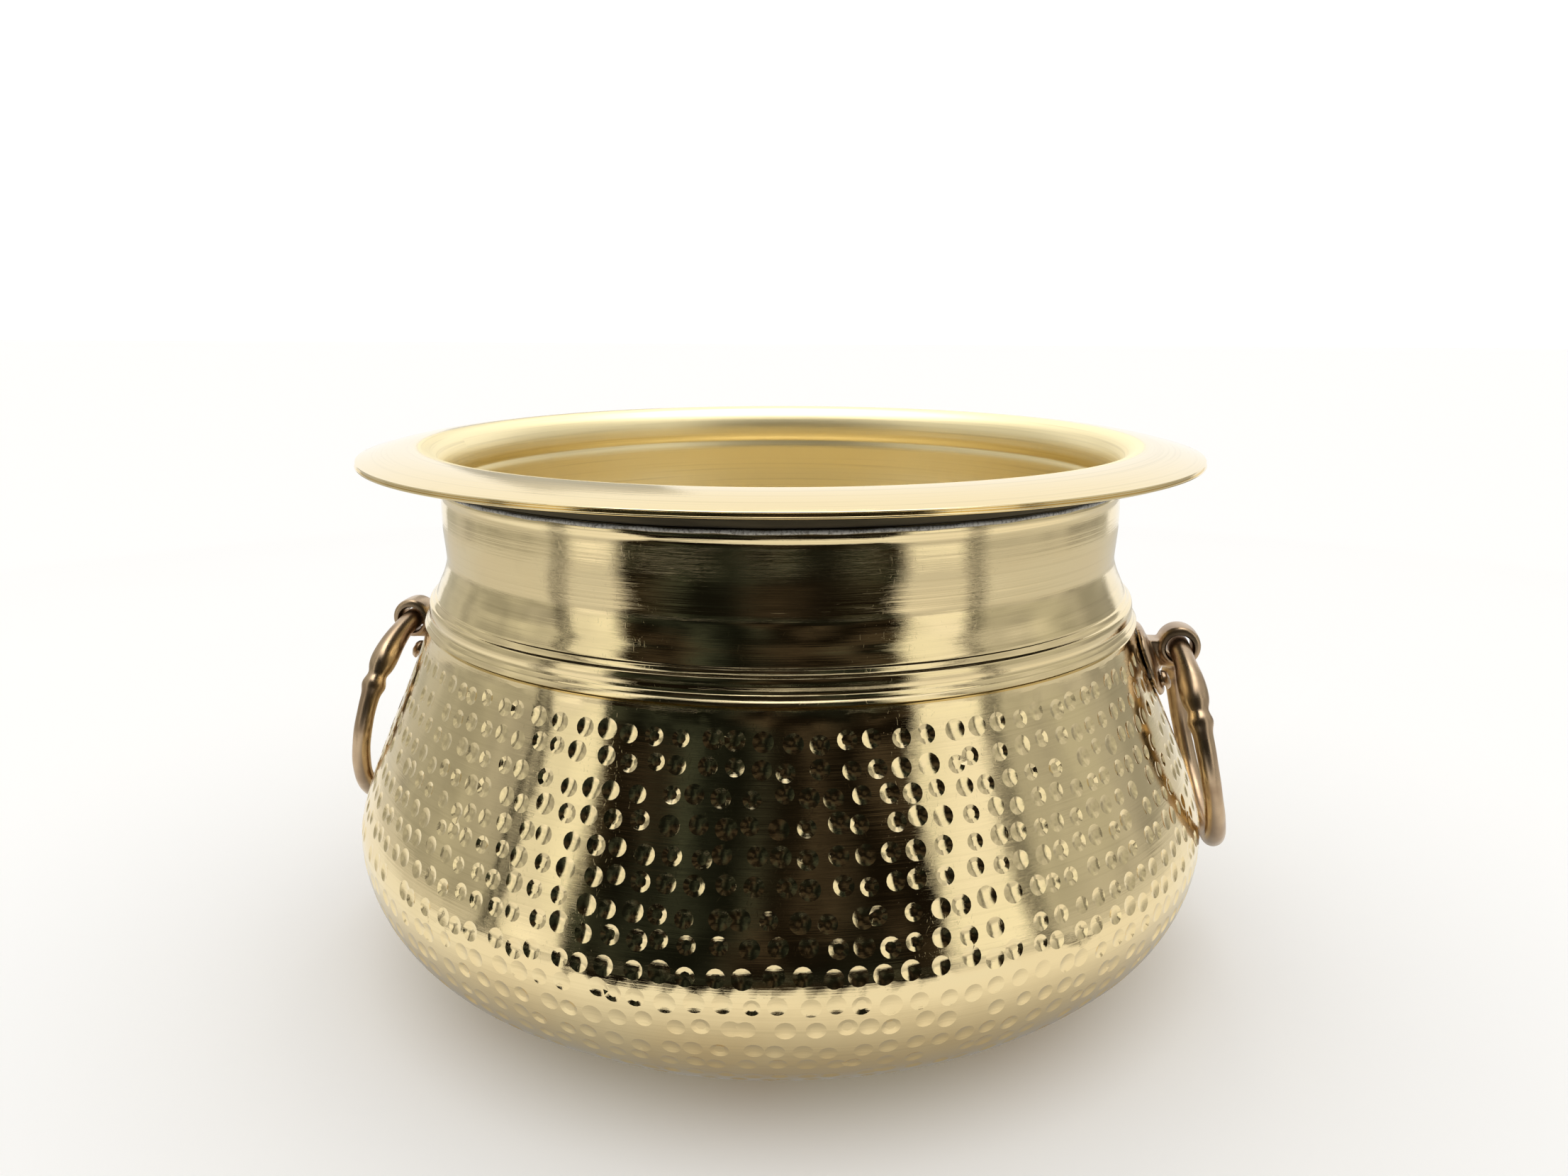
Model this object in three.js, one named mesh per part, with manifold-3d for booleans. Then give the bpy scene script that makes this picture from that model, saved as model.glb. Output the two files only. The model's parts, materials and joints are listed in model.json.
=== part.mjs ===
// A brass urli: a wide hammered bowl with a spun neck, a flared brim and two hanging ring handles.
// Millimetres, +Z up. The origin is the centre of the flat underside, and the handles lie on X.
import * as THREE from 'three';
import { mergeVertices } from 'three/addons/utils/BufferGeometryUtils.js';
import Module from 'manifold-3d';

const wasm = await Module();
wasm.setup();

// Bowl: the outer outline of the hammered lower sheet
const BOWL_WALL = 1.2;
const BASE_RADIUS = 76;
const BASE_CURVE_REACH = 62.4;
const BELLY_RADIUS = 156.8;
const BELLY_HEIGHT = 53.8;
const BELLY_PULL_DOWN = 23.4;
const BELLY_PULL_UP = 14.2;
const SHOULDER_RADIUS = 129.6;
const SHOULDER_HEIGHT = 127.7;
const SHOULDER_PULL = 9.5;
const LIP_RADIUS = 126.9;
const LIP_TOP = 134.5;

// Neck: the spun sheet from the lapped seam up to the throat
const NECK_SHEET = 1.0;
const SEAM_RADIUS = 130.2;
const SEAM_HEIGHT = 129.1;
const BEAD_RADIUS = 128.4;
const NECK_RADIUS = 121.5;
const NECK_WAIST_HEIGHT = 151.6;
const THROAT_RADIUS = 121.9;
const THROAT_HEIGHT = 181;

// Brim: the same sheet flared out over a soft crest to a turned-down edge
const CREST_RADIUS = 129;
const CREST_TOP = 190.8;
const BRIM_BEND_RADIUS = 137.1;
const RIM_RADIUS = 150;
const RIM_EDGE_ROUND = 1.8;
const RIM_EDGE_CENTRE_HEIGHT = 186.1;
const RIM_EDGE_BOTTOM = 185.2;

// Under the brim: a cone of sheet that closes it, soldered to the neck all round
const CONE_SHEET = 1.0;
const CONE_INNER_RADIUS = 122.5;
const CONE_INNER_HEIGHT = 178.3;
const CONE_OUTER_RADIUS = 148.5;
const CONE_OUTER_HEIGHT = 185.2;
const SOLDER_RADIUS = 0.65;
const SOLDER_CENTRE_RADIUS = 123.05;
const SOLDER_CENTRE_HEIGHT = 177.3;

// Handles: a cast lug on each side, and a ring that hangs in its eye and leans on the belly
const HINGE_RADIUS = 146.5;
const HINGE_HEIGHT = 116.8;
const EYE_RADIUS = 7.6;
const EYE_RISE = 0.5;
const EYE_HOLE_RADIUS = 4.8;
const EYE_WIDTH = 11;
const EYE_BEVEL = 1.6;
const WEB_TOP = 119.3;
const WEB_BOTTOM = 110;
const PLATE_THICKNESS = 3.5;
const PLATE_WIDTH = 34;
const PLATE_BOTTOM = 100;
const PLATE_TOP = 123.5;
const PLATE_CORNER = 8;
const RING_RADIUS = 36;
const RING_STOCK = 3.8;
const RING_LEAN_DEG = 12.3;
const SWELLING_ANGLE_DEG = 44;
const SWELLING_SPREAD_DEG = 15;
const RING_SWELLING = 1.1;
const COLLAR_ANGLE_DEG = 62.5;
const COLLAR_SPREAD_DEG = 4.5;
const RING_COLLAR = 0.6;
const RING_SLIMMING = 0.5;
const SLIM_FROM_DEG = 74.5;
const SLIM_TO_DEG = 105;
const ROUND_FROM_DEG = 165;

// Rivets that hold each lug, with a burr washer inside the bowl
const RIVET_AZIMUTH_DEG = 5;
const RIVET_HEIGHT = 105.5;
const RIVET_SHANK = 2;
const RIVET_HEAD_RADIUS = 3.6;
const RIVET_HEAD_HEIGHT = 2.2;
const RIVET_TAIL_RADIUS = 3.2;
const RIVET_TAIL_HEIGHT = 1.7;
const BURR_RADIUS = 5;
const BURR_THICKNESS = 1;

const GAP = 0.3;
const INNER_GAP = 0.45;
const ROUND_SEGMENTS = 48;
const ENVELOPE_SEGMENTS = 120;
const RING_STEPS = 60;
const DEG = Math.PI / 180;

const brass = new THREE.MeshStandardMaterial({ color: 0xd9bf7c, roughness: 0.3, metalness: 1 });
const castBrass = new THREE.MeshStandardMaterial({ color: 0xa8865c, roughness: 0.4, metalness: 1 });
const darkBrass = new THREE.MeshStandardMaterial({ color: 0x4a3d28, roughness: 0.5, metalness: 1 });
const solder = new THREE.MeshStandardMaterial({ color: 0x8c8c88, roughness: 0.5, metalness: 1 });

const at = (radius, height) => new THREE.Vector2(radius, height);

// Part of an ellipse round a centre, by its half width, half height and two angles.
function arcPoints(centre, halfWidth, halfHeight, startDeg, endDeg, steps) {
  const points = [];
  for (let i = 0; i <= steps; i += 1) {
    const angle = (startDeg + (endDeg - startDeg) * (i / steps)) * DEG;
    points.push(at(centre.x + halfWidth * Math.cos(angle), centre.y + halfHeight * Math.sin(angle)));
  }
  return points;
}

// Moves every point of an outline to its left by a distance, with mitred corners.
function offsetOutline(points, distance) {
  return points.map((point, i) => {
    const before = points[Math.max(i - 1, 0)];
    const after = points[Math.min(i + 1, points.length - 1)];
    const into = i > 0 ? point.clone().sub(before).normalize() : after.clone().sub(point).normalize();
    const out = i < points.length - 1 ? after.clone().sub(point).normalize() : into.clone();
    const normal = at(-into.y - out.y, into.x + out.x).normalize();
    const mitre = 1 / Math.max(normal.dot(at(-into.y, into.x)), 0.5);
    return point.clone().addScaledVector(normal, distance * mitre);
  });
}

function revolve(points, segments) {
  const geometry = new THREE.LatheGeometry(points, segments);
  geometry.rotateX(Math.PI / 2);
  return geometry;
}

// Revolves a sheet: its outer outline, and the same outline moved inwards by the wall.
function revolveSheet(outline, wall, closesOnAxis) {
  const inner = offsetOutline(outline, wall).reverse();
  const section = [...outline, ...inner];
  if (closesOnAxis) {
    section[0].x = 0;
    section[section.length - 1].x = 0;
  } else {
    section.push(section[0].clone());
  }
  return revolve(section, ROUND_SEGMENTS);
}

function lowerBellyCurve() {
  return new THREE.CubicBezierCurve(
    at(BASE_RADIUS, 0),
    at(BASE_RADIUS + BASE_CURVE_REACH, 0),
    at(BELLY_RADIUS, BELLY_HEIGHT - BELLY_PULL_DOWN),
    at(BELLY_RADIUS, BELLY_HEIGHT),
  );
}

function upperBellyCurve() {
  return new THREE.CubicBezierCurve(
    at(BELLY_RADIUS, BELLY_HEIGHT),
    at(BELLY_RADIUS, BELLY_HEIGHT + BELLY_PULL_UP),
    at(SHOULDER_RADIUS, SHOULDER_HEIGHT - SHOULDER_PULL),
    at(SHOULDER_RADIUS, SHOULDER_HEIGHT),
  );
}

function bowlOutline() {
  const lip = [
    at(SHOULDER_RADIUS - 0.6, SHOULDER_HEIGHT + 0.5),
    at(LIP_RADIUS, SHOULDER_HEIGHT + 3.9),
    at(LIP_RADIUS, LIP_TOP),
  ];
  const lower = lowerBellyCurve().getPoints(7);
  const upper = upperBellyCurve().getPoints(7).slice(1);
  return [at(0, 0), ...lower, ...upper, ...lip];
}

// The neck sheet's outer side: skirt, bead, waist, throat, flared brim underside and turned-down edge.
function neckOutline() {
  const skirt = [
    at(SEAM_RADIUS, SEAM_HEIGHT),
    at(BEAD_RADIUS - 0.2, SEAM_HEIGHT + 2.8),
    at(BEAD_RADIUS, SEAM_HEIGHT + 6.2),
    at(BEAD_RADIUS - 1.1, SEAM_HEIGHT + 8.2),
    at(BEAD_RADIUS - 3, SEAM_HEIGHT + 9.6),
  ];
  const waist = new THREE.SplineCurve([
    at(NECK_RADIUS + 2.9, SEAM_HEIGHT + 13.4),
    at(NECK_RADIUS, NECK_WAIST_HEIGHT),
    at(NECK_RADIUS + 1.2, NECK_WAIST_HEIGHT + 17),
    at(THROAT_RADIUS, THROAT_HEIGHT - 3),
  ]).getPoints(6);
  const crestBottom = CREST_TOP - NECK_SHEET;
  const flareWidth = CREST_RADIUS - THROAT_RADIUS;
  const flareHeight = crestBottom - THROAT_HEIGHT;
  const flare = arcPoints(at(CREST_RADIUS, THROAT_HEIGHT), flareWidth, flareHeight, 180, 90, 4);
  const edgeCentre = at(RIM_RADIUS - RIM_EDGE_ROUND, RIM_EDGE_CENTRE_HEIGHT);
  const innerRound = RIM_EDGE_ROUND - NECK_SHEET;
  const edge = arcPoints(edgeCentre, innerRound, innerRound, 90, 0, 3);
  const bend = at(BRIM_BEND_RADIUS, crestBottom);
  const slope = new THREE.QuadraticBezierCurve(flare[flare.length - 1], bend, edge[0]);
  const brim = slope.getPoints(4).slice(1, -1);
  return [...skirt, ...waist, ...flare, ...brim, ...edge, at(RIM_RADIUS - NECK_SHEET, RIM_EDGE_BOTTOM)];
}

function solid(geometry) {
  const bare = geometry.index ? geometry.toNonIndexed() : geometry.clone();
  bare.deleteAttribute('normal');
  bare.deleteAttribute('uv');
  const merged = mergeVertices(bare, 1e-4);
  const mesh = new wasm.Mesh({
    numProp: 3,
    vertProperties: new Float32Array(merged.attributes.position.array),
    triVerts: new Uint32Array(merged.index.array),
  });
  return new wasm.Manifold(mesh);
}

function geometryOf(manifold) {
  const mesh = manifold.getMesh();
  const geometry = new THREE.BufferGeometry();
  geometry.setAttribute('position', new THREE.BufferAttribute(new Float32Array(mesh.vertProperties), 3));
  geometry.setIndex(new THREE.BufferAttribute(new Uint32Array(mesh.triVerts), 1));
  return geometry;
}

// A solid of revolution that fills the belly's outline, swollen by a distance.
function bellyEnvelope(distance) {
  const outline = offsetOutline(upperBellyCurve().getPoints(9), -distance);
  const first = outline[0];
  const last = outline[outline.length - 1];
  return solid(revolve([at(0, first.y), ...outline, at(0, last.y)], ENVELOPE_SEGMENTS));
}

function rivetSeat(side) {
  const curve = upperBellyCurve();
  let low = 0;
  let high = 1;
  for (let i = 0; i < 30; i += 1) {
    const middle = (low + high) / 2;
    if (curve.getPoint(middle).y < RIVET_HEIGHT) low = middle;
    else high = middle;
  }
  const point = curve.getPoint(low);
  const tangent = curve.getTangent(low);
  const normal = new THREE.Vector3(tangent.y, 0, -tangent.x);
  const turn = new THREE.Matrix4().makeRotationZ(side * RIVET_AZIMUTH_DEG * DEG);
  const seat = new THREE.Matrix4().lookAt(normal, new THREE.Vector3(), new THREE.Vector3(0, 1, 0));
  seat.setPosition(point.x, 0, point.y);
  return turn.multiply(seat);
}

// A round piece about the rivet's own axis; heights are measured outwards from the bowl's surface.
function onRivetAxis(points, seat, segments = 12) {
  const geometry = revolve(points, segments);
  geometry.applyMatrix4(seat);
  return geometry;
}

function rivetGeometry(seat) {
  const headBase = GAP + PLATE_THICKNESS + GAP;
  const tailBase = -BOWL_WALL - INNER_GAP - BURR_THICKNESS - GAP;
  return onRivetAxis([
    at(0, tailBase - RIVET_TAIL_HEIGHT),
    at(RIVET_TAIL_RADIUS * 0.65, tailBase - RIVET_TAIL_HEIGHT * 0.85),
    at(RIVET_TAIL_RADIUS, tailBase),
    at(RIVET_SHANK, tailBase),
    at(RIVET_SHANK, headBase),
    at(RIVET_HEAD_RADIUS, headBase),
    at(RIVET_HEAD_RADIUS * 0.9, headBase + RIVET_HEAD_HEIGHT * 0.5),
    at(RIVET_HEAD_RADIUS * 0.55, headBase + RIVET_HEAD_HEIGHT * 0.88),
    at(0, headBase + RIVET_HEAD_HEIGHT),
  ], seat);
}

function burrGeometry(seat) {
  const outer = -BOWL_WALL - INNER_GAP;
  const inner = outer - BURR_THICKNESS;
  return onRivetAxis([
    at(RIVET_SHANK + GAP, inner),
    at(BURR_RADIUS - 0.4, inner),
    at(BURR_RADIUS, outer),
    at(RIVET_SHANK + GAP, outer),
    at(RIVET_SHANK + GAP, inner),
  ], seat);
}

function rivetHole(seat) {
  const radius = RIVET_SHANK + GAP;
  const reach = 3 * PLATE_THICKNESS;
  return solid(onRivetAxis([at(0, -reach), at(radius, -reach), at(radius, reach), at(0, reach)], seat, 16));
}

const rivetSides = { front: -1, rear: 1 };
const rivetSeats = Object.fromEntries(
  Object.entries(rivetSides).map(([name, side]) => [name, rivetSeat(side)]),
);

function bowlGeometry() {
  let bowl = solid(revolveSheet(bowlOutline(), BOWL_WALL, true));
  for (const seat of Object.values(rivetSeats)) {
    const hole = rivetHole(seat);
    bowl = bowl.subtract(hole).subtract(hole.rotate([0, 0, 180]));
  }
  return geometryOf(bowl);
}

// The cone that closes the brim, drawn by its lower side from the neck out to the turned-down edge.
function coneGeometry() {
  const lower = [at(CONE_INNER_RADIUS, CONE_INNER_HEIGHT), at(CONE_OUTER_RADIUS, CONE_OUTER_HEIGHT)];
  return revolveSheet(lower, CONE_SHEET, false);
}

function solderGeometry() {
  const centre = at(SOLDER_CENTRE_RADIUS, SOLDER_CENTRE_HEIGHT);
  return revolve(arcPoints(centre, SOLDER_RADIUS, SOLDER_RADIUS, 0, 360, 8), ROUND_SEGMENTS);
}

// The back plate's outline in width (Y) and height (Z), drawn as a shape and extruded along X.
function plateBlank() {
  const half = PLATE_WIDTH / 2;
  const shape = new THREE.Shape();
  shape.moveTo(-half + PLATE_CORNER, PLATE_BOTTOM);
  shape.lineTo(half - PLATE_CORNER, PLATE_BOTTOM);
  shape.quadraticCurveTo(half, PLATE_BOTTOM, half, PLATE_BOTTOM + PLATE_CORNER);
  shape.quadraticCurveTo(half, PLATE_TOP, half - PLATE_CORNER * 1.5, PLATE_TOP);
  shape.lineTo(-half + PLATE_CORNER * 1.5, PLATE_TOP);
  shape.quadraticCurveTo(-half, PLATE_TOP, -half, PLATE_BOTTOM + PLATE_CORNER);
  shape.quadraticCurveTo(-half, PLATE_BOTTOM, -half + PLATE_CORNER, PLATE_BOTTOM);
  const depth = 2 * PLATE_WIDTH;
  const geometry = new THREE.ExtrudeGeometry(shape, { depth, bevelEnabled: false, curveSegments: 5 });
  geometry.rotateX(Math.PI / 2);
  geometry.rotateZ(Math.PI / 2);
  geometry.translate(HINGE_RADIUS - depth / 2, 0, 0);
  return solid(geometry);
}

// A solid of revolution about the hinge axis, or about a line a distance above it.
function alongHinge(points, segments, rise = 0) {
  const geometry = new THREE.LatheGeometry(points, segments);
  geometry.translate(HINGE_RADIUS, 0, HINGE_HEIGHT + rise);
  return solid(geometry);
}

function lugGeometry() {
  const half = EYE_WIDTH / 2;
  const eye = alongHinge([
    at(0, -half),
    at(EYE_RADIUS - EYE_BEVEL, -half),
    at(EYE_RADIUS, -half + EYE_BEVEL),
    at(EYE_RADIUS, half - EYE_BEVEL),
    at(EYE_RADIUS - EYE_BEVEL, half),
    at(0, half),
  ], 24, EYE_RISE);
  const hole = alongHinge([
    at(0, -half - 1),
    at(EYE_HOLE_RADIUS, -half - 1),
    at(EYE_HOLE_RADIUS, half + 1),
    at(0, half + 1),
  ], 20);
  const webDepth = HINGE_RADIUS - SHOULDER_RADIUS + 4;
  const web = new THREE.BoxGeometry(webDepth, EYE_WIDTH - EYE_BEVEL, WEB_TOP - WEB_BOTTOM);
  web.translate(HINGE_RADIUS - webDepth / 2, 0, (WEB_TOP + WEB_BOTTOM) / 2);
  const plate = plateBlank().intersect(bellyEnvelope(GAP + PLATE_THICKNESS));
  let lug = plate.add(solid(web)).add(eye).subtract(hole).subtract(bellyEnvelope(GAP));
  for (const seat of Object.values(rivetSeats)) {
    lug = lug.subtract(rivetHole(seat));
  }
  return geometryOf(lug);
}

// The ring's half thickness at an angle from its top: each limb has a long swelling, then a round
// collar, and below the collar it is slimmer, thickening again towards the bottom.
function ringStock(angleDeg) {
  const { smoothstep } = THREE.MathUtils;
  const bump = (centre, width) => Math.exp(-(((angleDeg - centre) / width) ** 2));
  const swelling = RING_SWELLING * bump(SWELLING_ANGLE_DEG, SWELLING_SPREAD_DEG);
  const collar = RING_COLLAR * bump(COLLAR_ANGLE_DEG, COLLAR_SPREAD_DEG);
  const slimming = RING_SLIMMING * smoothstep(angleDeg, SWELLING_ANGLE_DEG, SLIM_FROM_DEG);
  const recovery = smoothstep(angleDeg, SLIM_TO_DEG, ROUND_FROM_DEG);
  return RING_STOCK + swelling + collar - slimming * (1 - recovery);
}

// The ring hangs from the hinge axis, in the plane of Y and its leaning direction.
function ringGeometry() {
  const geometry = new THREE.TorusGeometry(RING_RADIUS, RING_STOCK, 8, RING_STEPS);
  const position = geometry.attributes.position;
  for (let i = 0; i < position.count; i += 1) {
    const point = new THREE.Vector3().fromBufferAttribute(position, i);
    const centre = new THREE.Vector3(point.x, point.y, 0).setLength(RING_RADIUS);
    const angleDeg = Math.acos(THREE.MathUtils.clamp(centre.y / RING_RADIUS, -1, 1)) / DEG;
    const offset = point.sub(centre).multiplyScalar(ringStock(angleDeg) / RING_STOCK);
    position.setXYZ(i, centre.x + offset.x, centre.y + offset.y, offset.z);
  }
  geometry.translate(0, -RING_RADIUS, 0);
  geometry.rotateX(Math.PI / 2);
  geometry.rotateZ(Math.PI / 2);
  geometry.rotateY(-RING_LEAN_DEG * DEG);
  geometry.translate(HINGE_RADIUS, 0, HINGE_HEIGHT);
  return geometry;
}

function part(name, geometry, material) {
  const mesh = new THREE.Mesh(geometry, material);
  mesh.name = name;
  return mesh;
}

// One handle, drawn on +X. The left one is turned half way about Z, which swaps its front and rear.
function handle(side) {
  const turned = side === 'left';
  const group = new THREE.Group();
  group.rotation.z = turned ? Math.PI : 0;
  group.add(part(`${side}_lug`, lugGeometry(), castBrass));
  group.add(part(`${side}_ring`, ringGeometry(), castBrass));
  const seats = turned ? { front: rivetSeats.rear, rear: rivetSeats.front } : rivetSeats;
  for (const [name, seat] of Object.entries(seats)) {
    group.add(part(`${side}_rivet_${name}`, rivetGeometry(seat), castBrass));
    group.add(part(`${side}_burr_${name}`, burrGeometry(seat), castBrass));
  }
  return group;
}

const urli = new THREE.Group();
urli.add(part('lower_bowl', bowlGeometry(), brass));
urli.add(part('neck_collar', revolveSheet(neckOutline(), NECK_SHEET, false), brass));
urli.add(part('brim_underside', coneGeometry(), darkBrass));
urli.add(part('solder_seam', solderGeometry(), solder));
urli.add(handle('right'));
urli.add(handle('left'));

export default urli;
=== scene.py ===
# A polished brass urli: a hammered bowl, a spun neck with a flared brim, and two hanging ring handles.
# Metres in the scene; outlines and sizes below are in millimetres, and MM turns them into metres.
import json
import math

import bmesh
import bpy
import numpy as np
from mathutils import Matrix, Vector
from mathutils.geometry import delaunay_2d_cdt


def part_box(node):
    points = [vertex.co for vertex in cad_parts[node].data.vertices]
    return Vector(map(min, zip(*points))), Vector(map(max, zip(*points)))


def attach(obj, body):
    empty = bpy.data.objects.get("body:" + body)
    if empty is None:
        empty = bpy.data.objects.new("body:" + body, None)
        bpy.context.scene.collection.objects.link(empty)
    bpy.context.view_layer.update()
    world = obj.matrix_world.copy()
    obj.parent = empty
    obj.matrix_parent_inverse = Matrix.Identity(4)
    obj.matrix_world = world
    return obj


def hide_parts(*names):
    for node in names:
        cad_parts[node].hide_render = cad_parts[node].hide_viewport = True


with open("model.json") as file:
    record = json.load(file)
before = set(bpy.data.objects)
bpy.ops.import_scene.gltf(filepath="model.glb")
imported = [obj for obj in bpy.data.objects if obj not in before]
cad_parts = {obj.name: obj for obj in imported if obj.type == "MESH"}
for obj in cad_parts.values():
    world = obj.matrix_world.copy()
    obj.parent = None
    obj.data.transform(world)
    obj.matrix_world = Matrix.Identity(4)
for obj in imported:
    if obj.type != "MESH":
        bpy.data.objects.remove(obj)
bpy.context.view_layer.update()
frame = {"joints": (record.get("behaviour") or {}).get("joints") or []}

MM = 0.001
WELD_DISTANCE = 0.002
TAU = 2 * math.pi
rng = np.random.default_rng(7)


def reach_and_top(node):
    """A round node's outer radius along Y and its highest level, in millimetres."""
    _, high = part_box(node)
    return high.y / MM, high.z / MM


# Sizes taken from the frame
BELLY_RADIUS, LIP_TOP = reach_and_top("lower_bowl")
RIM_RADIUS, CREST_TOP = reach_and_top("neck_collar")
HINGE = next(joint["pos_m"] for joint in frame["joints"] if joint["child"] == "right_handle")
HINGE_RADIUS = HINGE[0] / MM
HINGE_HEIGHT = HINGE[2] / MM

# Bowl
BOWL_WALL = 1.2
BASE_RADIUS = 76.0
BASE_CURVE_REACH = 62.4
BELLY_HEIGHT = 53.8
BELLY_PULL_DOWN = 23.4
BELLY_PULL_UP = 14.2
SHOULDER_RADIUS = 129.6
SHOULDER_HEIGHT = 127.7
SHOULDER_PULL = 9.5
LIP_RADIUS = 126.9
OUTLINE_STEPS = 160

# Hammering
COLUMNS = 360
OVERLAP_COLUMNS = 24
HAMMERED_FROM_RADIUS = 80.0
FIRST_ROW_HEIGHT = 119.5
ROW_PITCH = 8.1
MARK_PITCH = 7.9
MARK_RADIUS = 2.9
MARK_DEPTH = 0.56
OUTER_RINGS = ((0.001, 1), (0.55, 8), (1, 16))
INNER_RINGS = ((0.001, 1), (0.95, 7))
INNER_PUSH = 0.5
FLAT_SPACING = 3.1
FLAT_PITCH = 3.3
NEAR_LEVEL = 0.06

# Neck and brim
NECK_SHEET = 1.0
SEAM_RADIUS = 130.2
SEAM_HEIGHT = 129.1
NECK_RADIUS = 121.5
THROAT_RADIUS = 121.9
THROAT_HEIGHT = 181.0
CREST_RADIUS = 129.0
CONE_SHEET = 1.0
CONE_INNER_RADIUS = 122.5
CONE_INNER_HEIGHT = 178.3
CONE_OUTER_RADIUS = 148.5
CONE_OUTER_HEIGHT = 185.2
SOLDER_RADIUS = 0.65
SOLDER_CENTRE_RADIUS = 123.05
SOLDER_CENTRE_HEIGHT = 177.3

# Handles
EYE_RADIUS = 7.6
EYE_RISE = 0.5
EYE_HOLE_RADIUS = 4.8
EYE_WIDTH = 11.0
WEB_TOP = 119.3
WEB_BOTTOM = 110.0
PLATE_THICKNESS = 3.5
PLATE_WIDTH = 34.0
PLATE_BOTTOM = 100.0
PLATE_TOP = 123.5
PLATE_HALF_HEIGHT = (PLATE_TOP - PLATE_BOTTOM) / 2
PLATE_SQUARENESS = 0.55
PLATE_TAPER = 0.22
TAPER_HEIGHT = 11.5
RING_RADIUS = 36.0
RING_COLUMNS = 300
RING_SECTION = 36
RING_STOCK = 3.8
RING_LEAN = math.radians(12.3)
SWELLING_ANGLE = 44.0
GROOVE_ANGLE = 55.5
COLLAR_ANGLE = 62.5
RIVET_AZIMUTH = math.radians(5)
RIVET_HEIGHT = 105.5
RIVET_SHANK = 2.0
RIVET_HEAD_RADIUS = 3.6
RIVET_HEAD_HEIGHT = 2.2
BURR_RADIUS = 5.0
BURR_THICKNESS = 1.0
GAP = 0.3
INNER_GAP = 0.45


# ---------------------------------------------------------------- outlines

def bezier(a, b, c, d, steps):
    """Points of a cubic curve, as an array of (radius, height)."""
    t = np.linspace(0, 1, steps + 1)[:, None]
    a, b, c, d = (np.array(p, float) for p in (a, b, c, d))
    return (1 - t) ** 3 * a + 3 * (1 - t) ** 2 * t * b + 3 * (1 - t) * t * t * c + t**3 * d


def arc(centre, radius, start_deg, end_deg, steps):
    angle = np.radians(np.linspace(start_deg, end_deg, steps + 1))
    return np.stack([centre[0] + radius * np.cos(angle), centre[1] + radius * np.sin(angle)], 1)


def spline(points, steps):
    """A Catmull-Rom curve through the points, with a number of steps between each two."""
    p = np.array(points, float)
    p = np.vstack([2 * p[0] - p[1], p, 2 * p[-1] - p[-2]])
    t = np.linspace(0, 1, steps, endpoint=False)[:, None]
    out = []
    for i in range(1, len(p) - 2):
        a, b, c, d = p[i - 1], p[i], p[i + 1], p[i + 2]
        out.append(0.5 * (2 * b + (c - a) * t + (2 * a - 5 * b + 4 * c - d) * t**2
                          + (3 * b - a - 3 * c + d) * t**3))
    return np.vstack([*out, p[-2:-1]])


def rounded(corners, steps=4):
    """A run of (radius, height, rounding) corners, each cut by a smooth curve as wide as its rounding."""
    out = []
    for i, (x, y, cut) in enumerate(corners):
        point = np.array([x, y], float)
        if cut == 0 or i in (0, len(corners) - 1):
            out.append(point)
            continue
        before = np.array(corners[i - 1][:2], float) - point
        after = np.array(corners[i + 1][:2], float) - point
        start = point + before / np.linalg.norm(before) * min(cut, np.linalg.norm(before) / 2)
        end = point + after / np.linalg.norm(after) * min(cut, np.linalg.norm(after) / 2)
        for t in np.linspace(0, 1, steps + 1):
            out.append((1 - t) ** 2 * start + 2 * t * (1 - t) * point + t * t * end)
    return np.array(out)


def normals(outline):
    """Unit normals on the right of an outline that runs upwards, so pointing away from the axis."""
    along = np.gradient(outline, axis=0)
    along /= np.linalg.norm(along, axis=1)[:, None]
    return np.stack([along[:, 1], -along[:, 0]], 1)


def moved(outline, distance):
    return outline + normals(outline) * distance


def belly_outline(steps=OUTLINE_STEPS):
    lower = bezier((BASE_RADIUS, 0), (BASE_RADIUS + BASE_CURVE_REACH, 0),
                   (BELLY_RADIUS, BELLY_HEIGHT - BELLY_PULL_DOWN), (BELLY_RADIUS, BELLY_HEIGHT), steps)
    upper = bezier((BELLY_RADIUS, BELLY_HEIGHT), (BELLY_RADIUS, BELLY_HEIGHT + BELLY_PULL_UP),
                   (SHOULDER_RADIUS, SHOULDER_HEIGHT - SHOULDER_PULL),
                   (SHOULDER_RADIUS, SHOULDER_HEIGHT), steps)
    return np.vstack([lower, upper[1:]])


def at_height(outline, height):
    """The outline's radius and its outward normal at a height."""
    i = int(np.argmin(np.abs(outline[:, 1] - height)))
    return outline[i], normals(outline)[i]


# ---------------------------------------------------------------- meshes

def lathe(outline, columns=COLUMNS, closed=False):
    """Vertices and faces of an outline turned round Z. A point on the axis becomes a single pole."""
    vertices, faces, rows = [], [], []
    angle = np.linspace(0, TAU, columns, endpoint=False)
    for radius, height in outline:
        if radius < 1e-6:
            rows.append([len(vertices)] * columns)
            vertices.append((0, 0, height))
        else:
            rows.append(list(range(len(vertices), len(vertices) + columns)))
            vertices.extend(np.stack([radius * np.cos(angle), radius * np.sin(angle),
                                      np.full(columns, height)], 1).tolist())
    pairs = list(zip(rows, rows[1:]))
    if closed:
        pairs.append((rows[-1], rows[0]))
    for low, high in pairs:
        for i in range(columns):
            j = (i + 1) % columns
            corners = [low[i], low[j], high[j], high[i]]
            faces.append(tuple(dict.fromkeys(corners)))
    return np.array(vertices, float), faces


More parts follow.
